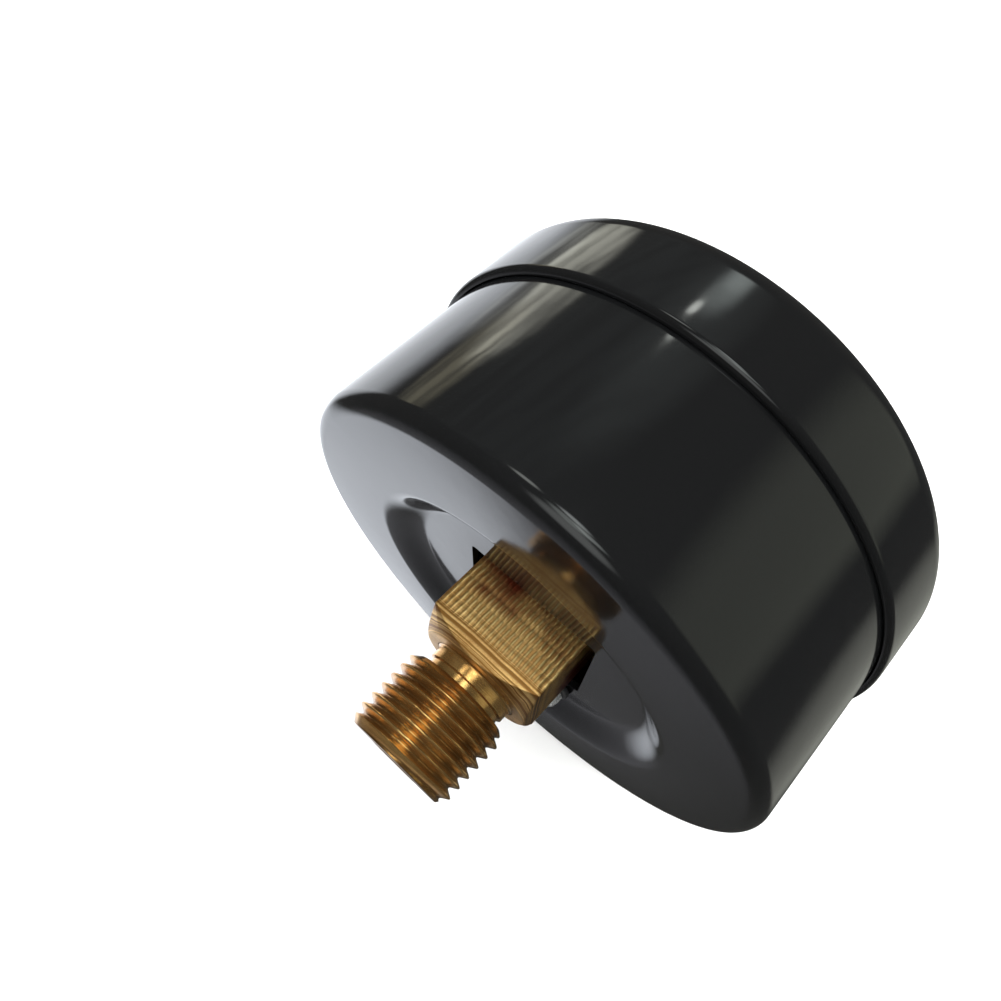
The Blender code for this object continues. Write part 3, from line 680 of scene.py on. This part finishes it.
def makeThread():
    steps = 144
    rowsPerTurn = 14
    start = caseBack + socket["behind"] + socket["neckLength"]
    end = socketHigh.y
    pitch = socket["pitch"]
    crest = socket["threadRadius"]
    root = crest - socket["threadDepth"]
    bm = bmesh.new()
    rows = []
    for row in range(-rowsPerTurn, math.ceil((end - start) / pitch + 1) * rowsPerTurn):
        ring = []
        for i in range(steps + 1):
            y = start + (row / rowsPerTurn + i / steps) * pitch
            kept = min(max(y, start), end)
            radius = root + socket["threadDepth"] * threadProfile(row / rowsPerTurn % 1.0)
            leadLimit = crest - 0.82 * max(0.0, kept - end + socket["leadIn"])
            tailLimit = root + 1.2 * max(0.0, kept - start)
            radius = min(radius, leadLimit, tailLimit)
            if kept != y:
                radius = min(leadLimit, tailLimit, root)
            angle = -math.tau * i / steps
            ring.append(bm.verts.new((radius * math.cos(angle), kept, radius * math.sin(angle))))
        rows.append(ring)
    for lower, upper in zip(rows, rows[1:]):
        for i in range(steps):
            bm.faces.new((lower[i], lower[i + 1], upper[i + 1], upper[i]))
    bmesh.ops.remove_doubles(bm, verts=bm.verts, dist=1e-7)
    bmesh.ops.dissolve_degenerate(bm, edges=bm.edges, dist=1e-7)
    bmesh.ops.holes_fill(bm, edges=[edge for edge in bm.edges if edge.is_boundary], sides=0)
    thread = closeMesh("inletThread", bm, 50)
    bore = socket["bore"]
    lead = socket["boreChamfer"]
    mouth = bore + lead
    hole = [(0, start - mm), (bore, start - mm), (bore, end - lead)]
    hole += [(mouth, end), (mouth, end + mm), (0, end + mm)]
    cutAway(thread, spinOutline("bore", hole, 96))
    thread.data.shade_smooth()
    thread.data.set_sharp_from_angle(angle=math.radians(50))
    fit(thread, body, "brass", threadBrass, "socket")


makeBlock()
makeNeck()
makeThread()
print("socket made")


# the two screws that hold the socket's foot to the case, each on a sealing washer

caseScrew = {
    "radius": 2.6 * mm,
    "height": 2.4 * mm,
    "rim": 0.7 * mm,
    "shank": 1.4 * mm,
    "slot": 0.8 * mm,
    "slotDepth": 1.0 * mm,
    "slotTurn": (112, 30),
    "washerRadius": 3.0 * mm,
}


def makeCaseScrew(index, x, z):
    low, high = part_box(f"case_screw_{index}")
    top = high.y
    seat = top - caseScrew["height"]
    radius = caseScrew["radius"]
    shank = caseScrew["shank"]
    dome = caseScrew["height"] - caseScrew["rim"]
    outline = [(0, low.y), (shank * 0.7, low.y), (shank, low.y + 0.4 * mm), (shank, seat)]
    outline += [(radius - 0.08 * mm, seat), (radius, seat + 0.1 * mm)]
    for i in range(13):
        angle = math.radians(90 * i / 12)
        outline.append((radius * math.cos(angle) ** 0.7, top - dome * (1 - math.sin(angle))))
    outline[-1] = (0, top)
    screw = spinOutline(f"caseScrew{index}", outline, 64, (x, z), 50)
    half = caseScrew["slot"] / 2
    turn = math.radians(caseScrew["slotTurn"][index - 1])
    corners = []
    for along, across in ((-4 * mm, -half), (4 * mm, -half), (4 * mm, half), (-4 * mm, half)):
        right = along * math.cos(turn) - across * math.sin(turn)
        up = across * math.cos(turn) + along * math.sin(turn)
        corners.append((x + right, z + up))
    cutAway(screw, liftOutline("slot", corners, top - caseScrew["slotDepth"], top + mm))
    softenEdges(screw, 0.05 * mm, 2, 50)
    fit(screw, body, "steel", zincSteel, f"case_screw_{index}")


def makeCaseWasher(index, x, z):
    low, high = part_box(f"case_washer_{index}")
    edge = 0.3 * mm
    inner = caseScrew["shank"] + 0.1 * mm
    outer = caseScrew["washerRadius"]
    outline = [(inner, low.y), (outer - edge, low.y)]
    outline += arcPoints(outer - edge, low.y + edge, edge, -60, 0, 4)
    outline += arcPoints(outer - edge, high.y - edge, edge, 0, 90, 6) + [(inner, high.y)]
    washer = spinOutline(f"caseWasher{index}", outline, 64, (x, z))
    fit(washer, body, "rubber", sealRubber, f"case_washer_{index}")


for index, place in enumerate(case["screwPlaces"], 1):
    makeCaseScrew(index, *place)
    makeCaseWasher(index, *place)
print("case screws made")


# window, gasket and dial

def makeWindow():
    radius = windowHigh.x
    edge = 0.25 * mm
    back = windowHigh.y
    front = windowLow.y
    outline = [(0, back), (radius - edge, back), (radius, back - edge)]
    outline += [(radius, front + edge), (radius - edge, front), (0, front)]
    fit(spinOutline("windowDisc", outline, 128, sharpAngle=20), body, "glass", windowGlass, "window")


def makeGasket():
    outer = gasketHigh.x
    inner = windowHigh.x - 1.5 * mm
    edge = 0.2 * mm
    back = gasketHigh.y
    front = gasketLow.y
    outline = arcPoints(outer - edge, front + edge, edge, 0, -90, 4)
    outline += arcPoints(inner + edge, front + edge, edge, -90, -180, 4)
    outline += arcPoints(inner + edge, back - edge, edge, 180, 90, 4)
    outline += arcPoints(outer - edge, back - edge, edge, 90, 0, 4)
    fit(spinOutline("gasketRing", outline, 128), body, "rubber", sealRubber, "window_gasket")


dial = {
    "screwOffset": 8.5 * mm,
    "start": 225,
    "sweep": 270,
    "divisions": 50,
    "scaleRadius": 24.5 * mm,
    "arcWidth": 0.25 * mm,
    "numberRadius": 18.2 * mm,
    "numberSize": 4.6 * mm,
    "inkThickness": 0.015 * mm,
    # length and width
    "marks": {
        "long": (3.0 * mm, 0.45 * mm), "middle": (2.2 * mm, 0.2 * mm), "short": (1.3 * mm, 0.2 * mm),
    },
}


def onDial(clockAngle, radius):
    angle = math.radians(clockAngle)
    return radius * math.sin(angle), radius * math.cos(angle)


def makeDialPlate():
    radius = dialHigh.x
    edge = 0.1 * mm
    outline = [(0, dialHigh.y), (radius, dialHigh.y), (radius, dialLow.y + edge)]
    outline += [(radius - edge, dialLow.y), (0, dialLow.y)]
    plate = spinOutline("dialPlate", outline, 128)
    holes = [(0, 0, 1.6 * mm), (-dial["screwOffset"], 0, 0.9 * mm), (dial["screwOffset"], 0, 0.9 * mm)]
    pinLow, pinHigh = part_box("stop_pin")
    holes.append(((pinLow.x + pinHigh.x) / 2, (pinLow.z + pinHigh.z) / 2, 0.45 * mm))
    for x, z, radius in holes:
        cutAway(plate, liftOutline("hole", circlePoints(x, z, radius, 32), dialLow.y - mm, dialHigh.y + mm))
    fit(plate, body, "white_paint", dialEnamel, "dial")


def makeScale():
    bm = bmesh.new()
    ink = dial["inkThickness"]
    top = dialLow.y - ink
    for division in range(dial["divisions"] + 1):
        angle = dial["start"] + dial["sweep"] * division / dial["divisions"]
        kind = "long" if division % 10 == 0 else "middle" if division % 5 == 0 else "short"
        length, width = dial["marks"][kind]
        addMark(bm, angle, dial["scaleRadius"] - length, dial["scaleRadius"], width, top, top + ink)
    scale = closeMesh("scaleMarks", bm)
    fit(scale, body, "black_matt", printInk)


def addMark(bm, clockAngle, inner, outer, width, low, high):
    corners = []
    for y in (low, high):
        for radius, side in ((inner, -1), (outer, -1), (outer, 1), (inner, 1)):
            offset = math.degrees(side * width / 2 / radius)
            x, z = onDial(clockAngle + offset, radius)
            corners.append(bm.verts.new((x, y, z)))
    for a, b, c, d in ((0, 1, 2, 3), (7, 6, 5, 4), (0, 4, 5, 1), (1, 5, 6, 2), (2, 6, 7, 3), (3, 7, 4, 0)):
        bm.faces.new((corners[a], corners[b], corners[c], corners[d]))


def makeScaleArc():
    ink = dial["inkThickness"]
    bm = bmesh.new()
    rings = []
    for i in range(181):
        angle = dial["start"] + dial["sweep"] * i / 180
        ring = []
        for outward, lift in ((0, 0), (dial["arcWidth"], 0), (dial["arcWidth"], ink), (0, ink)):
            x, z = onDial(angle, dial["scaleRadius"] + outward)
            ring.append(bm.verts.new((x, dialLow.y - lift, z)))
        rings.append(ring)
    for first, second in zip(rings, rings[1:]):
        for i in range(4):
            bm.faces.new((first[i], first[(i + 1) % 4], second[(i + 1) % 4], second[i]))
    bm.faces.new(rings[0])
    bm.faces.new(rings[-1])
    fit(closeMesh("scaleArc", bm), body, "black_matt", printInk)


def makeNumbers():
    for step in range(6):
        text = bpy.data.curves.new(f"number{step}", "FONT")
        text.body = str(step * 2)
        text.size = dial["numberSize"]
        text.align_x = "CENTER"
        text.align_y = "CENTER"
        text.extrude = dial["inkThickness"] / 2
        thing = nameObject(f"number{step}", text)
        x, z = onDial(dial["start"] + dial["sweep"] * step / 5, dial["numberRadius"])
        thing.location = (x, dialLow.y - dial["inkThickness"] / 2, z)
        thing.rotation_euler = (math.pi / 2, 0, 0)
        text.materials.append(printInk)
        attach(thing, body)


makeWindow()
makeGasket()
makeDialPlate()
makeScale()
makeScaleArc()
makeNumbers()
print("window, gasket and dial made")


# the Bourdon tube: its fixed half, and its free half, which unbends as the tip lifts on the real gauge but
# is a plain still mesh here

tube = {
    "radius": 20.0 * mm,
    "thickness": 3.2 * mm,
    "start": -90,
    "sweep": 260,
    "fixedSweep": 125,
    "sides": 28,
}


def onTube(swept, across=0.0):
    angle = math.radians(tube["start"] - swept)
    radius = tube["radius"] + across
    return radius * math.cos(angle), radius * math.sin(angle)


def makeTubeHalf(name, first, last, steps):
    low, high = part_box("bourdon_tube")
    depth = (low.y + high.y) / 2
    bm = bmesh.new()
    rings = []
    for i in range(steps + 1):
        ring = []
        for side in range(tube["sides"]):
            turn = math.tau * side / tube["sides"]
            x, z = onTube(first + (last - first) * i / steps, tube["thickness"] / 2 * math.cos(turn))
            ring.append(bm.verts.new((x, depth + (high.y - low.y) / 2 * math.sin(turn), z)))
        rings.append(ring)
    for one, other in zip(rings, rings[1:]):
        for side in range(tube["sides"]):
            after = (side + 1) % tube["sides"]
            bm.faces.new((one[side], one[after], other[after], other[side]))
    bm.faces.new(rings[0])
    bm.faces.new(rings[-1])
    half = closeMesh(name, bm, 50)
    half.data.materials.append(bronze)
    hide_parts("bourdon_tube")
    return half, depth


def makeTube():
    fixed, depth = makeTubeHalf("tubeFixedHalf", 0, tube["fixedSweep"], 48)
    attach(fixed, body)
    free, depth = makeTubeHalf("tubeFreeHalf", tube["fixedSweep"], tube["sweep"], 60)
    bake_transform(free)


makeTube()
print("tube made")


# the frame's own pieces keep their shapes and get their finishes

finishes = {
    "brass": movementBrass,
    "bronze": bronze,
    "steel": zincSteel,
    "black_matt": pointerBlack,
}


def finishFramePieces():
    slots = {part["node"]: part["material_slot"] for part in frame["record"]["subparts"]}
    for name, node in frame["nodes"].items():
        if not node.hide_render and slots[name] in finishes:
            for i in range(len(node.material_slots)):
                node.material_slots[i].material = finishes[slots[name]]


finishFramePieces()
print("frame pieces finished")


# floor, lights and camera

studio = {
    "floorColour": (0.93, 0.93, 0.93),
    "floorRoughness": 0.6,
    "floorSize": 3.0,  # metres from the middle to each side
    "wallColour": (0.86, 0.87, 0.88),
    "above": (0.08, 0.077, 0.069),
    "below": (0.07, 0.07, 0.066),
    # soft light from far off: azimuth, elevation, inner and outer angle, strength, colour
    "glows": {
        "paleTable": (97, -52, 14, 26, 1.3, (0.95, 1.0, 1.08)),
        "paleTableSide": (65, -24, 14, 27, 1.4, (0.96, 1.0, 1.06)),
        "tableBehind": (160, -36, 14, 46, 0.3, (0.97, 0.98, 1.08)),
        "window": (55, 13, 5, 11, 2.3, (1.02, 1.02, 0.88)),
        "windowLeft": (66, 11, 3, 9, 0.8, (1.1, 1.02, 0.72)),
        "windowSill": (57, 0, 3, 9, 0.8, (1.0, 1.02, 0.95)),
        "windowHaze": (48, 45, 6, 34, 0.08, (0.92, 1.04, 1.04)),
        "broadPanel": (301, 12, 18, 37, 0.4, (1.0, 1.06, 0.86)),
        "lamp": (24.6, 46.4, 0.4, 1.8, 9.0, (1.0, 1.04, 0.98)),
        "lampEdge": (57, 69, 2, 8, 3.0, (1.0, 1.04, 0.98)),
        "lampAbove": (339, 78, 2, 9, 4.0, (0.97, 1.04, 1.02)),
        "lampHalo": (18, 43.5, 0.5, 6, 1.5, (0.95, 1.05, 1.02)),
        "lampHaloFront": (16, 40.5, 0.5, 5, 1.3, (0.95, 1.05, 1.02)),
        "lampWash": (19, 50, 4, 16, 0.16, (0.95, 1.05, 1.02)),
        "overhead": (205, 82, 4, 12, 2.2, (0.96, 1.04, 1.0)),
        "overheadBehind": (188, 58, 8, 22, 1.5, (0.98, 1.02, 1.0)),
        "overheadLeft": (262, 78, 3, 9, 2.4, (0.96, 1.04, 1.0)),
        "farTable": (315, -45, 12, 24, 0.36, (1.0, 1.02, 0.9)),
    },
    # lamps that light the floor and the dial: place, aim, size and watts, in metres
    "lamps": {
        "keySoftbox": ((0.35, 0.25, 0.5), (0, -0.03, 0), (0.45, 0.35), 3.4),
        "fillSoftbox": ((-0.25, -0.4, 0.4), (0, -0.03, 0), (0.5, 0.4), 3.6),
        "topSoftbox": ((-0.05, 0.05, 0.8), (0, -0.03, 0), (0.9, 0.9), 6.0),
        "ceiling": ((0, 0.01, 2.6), (0, 0, 0), (7.0, 7.0), 80.0),
    },
}


view = {
    "azimuth": 221.36,
    "elevation": 62.46,
    "place": (-22.85 * mm, 18.85 * mm, 74.5 * mm),  # from the middle of the case's back
    "roll": 6.5,  # degrees about the gauge's axis, with the glows
    "lens": 26.42,
    "shift": (-0.0576, 0.0587),
}


def makeFloor():
    bm = bmesh.new()
    bmesh.ops.create_grid(bm, x_segments=1, y_segments=1, size=studio["floorSize"])
    floor = closeMesh("floor", bm)
    floor.location = (0, 0, cadBox[0].z)
    material, _, shader = newMaterial("paleFloor")
    shader.inputs["Base Color"].default_value = (*studio["floorColour"], 1)
    shader.inputs["Roughness"].default_value = studio["floorRoughness"]
    floor.data.materials.append(material)
    floor.visible_glossy = False  # the gloss shows the soft glows instead


def pointAt(azimuth, elevation):
    # a direction from the gauge: azimuth 0 is in front of the dial, 90 is its right side
    azimuth = math.radians(azimuth)
    elevation = math.radians(elevation)
    across = math.cos(elevation)
    return Vector((math.sin(azimuth) * across, -math.cos(azimuth) * across, math.sin(elevation)))


def makeWorld():
    world = bpy.data.worlds.new("studio")
    world.use_nodes = True
    tree = world.node_tree
    place = addNode(tree, "TexCoord")
    rolled = addNode(tree, "Mapping", vector_type="VECTOR")
    rolled.inputs["Rotation"].default_value = (0, -math.radians(view["roll"]), 0)
    join(tree, place.outputs["Generated"], rolled.inputs["Vector"])
    outward = rolled.outputs[0]
    split = addNode(tree, "SeparateXYZ")
    join(tree, outward, split.inputs[0])
    height = addRange(tree, split.outputs["Z"], -0.1, 0.05, 0.0, 1.0)
    colour = addMix(tree, height, studio["below"], studio["above"])
    squashed = addNode(tree, "Mapping")
    squashed.inputs["Scale"].default_value = (3.0, 3.0, 16.0)
    join(tree, outward, squashed.inputs["Vector"])
    blinds = addNode(tree, "TexNoise", Scale=1.6, Detail=3.0)
    join(tree, squashed.outputs[0], blinds.inputs["Vector"])
    slats = addRange(tree, blinds.outputs["Fac"], 0.38, 0.62, 0.3, 1.5)
    for name, (azimuth, elevation, inner, outer, strength, tint) in studio["glows"].items():
        near = addNode(tree, "VectorMath", operation="DOT_PRODUCT")
        join(tree, outward, near.inputs[0])
        near.inputs[1].default_value = pointAt(azimuth, elevation)
        edge = addNode(tree, "MapRange", interpolation_type="SMOOTHSTEP")
        edge.inputs[1].default_value = math.cos(math.radians(outer))
        edge.inputs[2].default_value = math.cos(math.radians(inner))
        join(tree, near.outputs["Value"], edge.inputs[0])
        share = edge.outputs[0]
        if elevation > 0:
            share = addMath(tree, "MULTIPLY", share, height)
        if name.startswith("window"):
            share = addMath(tree, "MULTIPLY", share, slats)
        light = addMix(tree, share, (0.0, 0.0, 0.0), tuple(strength * part for part in tint))
        colour = addMix(tree, 1.0, colour, light, "ADD")
    # the glows light the gauge, and a plain pale wall stands behind the floor
    path = addNode(tree, "LightPath")
    colour = addMix(tree, path.outputs["Is Camera Ray"], colour, studio["wallColour"])
    join(tree, colour, tree.nodes["Background"].inputs["Color"])
    bpy.context.scene.world = world


def makeLamps():
    for name, (place, aim, size, watts) in studio["lamps"].items():
        light = bpy.data.lights.new(name, "AREA")
        light.shape = "RECTANGLE"
        light.size, light.size_y = size
        light.energy = watts
        lamp = nameObject(name, light)
        lamp.location = place
        lamp.rotation_euler = (Vector(place) - Vector(aim)).to_track_quat("Z", "Y").to_euler()
        lamp.visible_glossy = False


def makeCamera():
    data = bpy.data.cameras.new("camera")
    data.sensor_width = 36
    data.lens = view["lens"]
    data.shift_x, data.shift_y = view["shift"]
    data.clip_start = 0.002
    camera = nameObject("camera", data)
    back = pointAt(view["azimuth"], view["elevation"])
    roll = Matrix.Rotation(math.radians(view["roll"]), 4, "Y")
    place = Matrix.Translation(Vector(view["place"]) + Vector((0, caseBack, 0)))
    camera.matrix_world = roll @ place @ back.to_track_quat("Z", "Y").to_matrix().to_4x4()
    bpy.context.scene.camera = camera


makeFloor()
makeWorld()
makeLamps()
makeCamera()
bpy.context.scene.view_settings.view_transform = "Standard"
print("studio made")
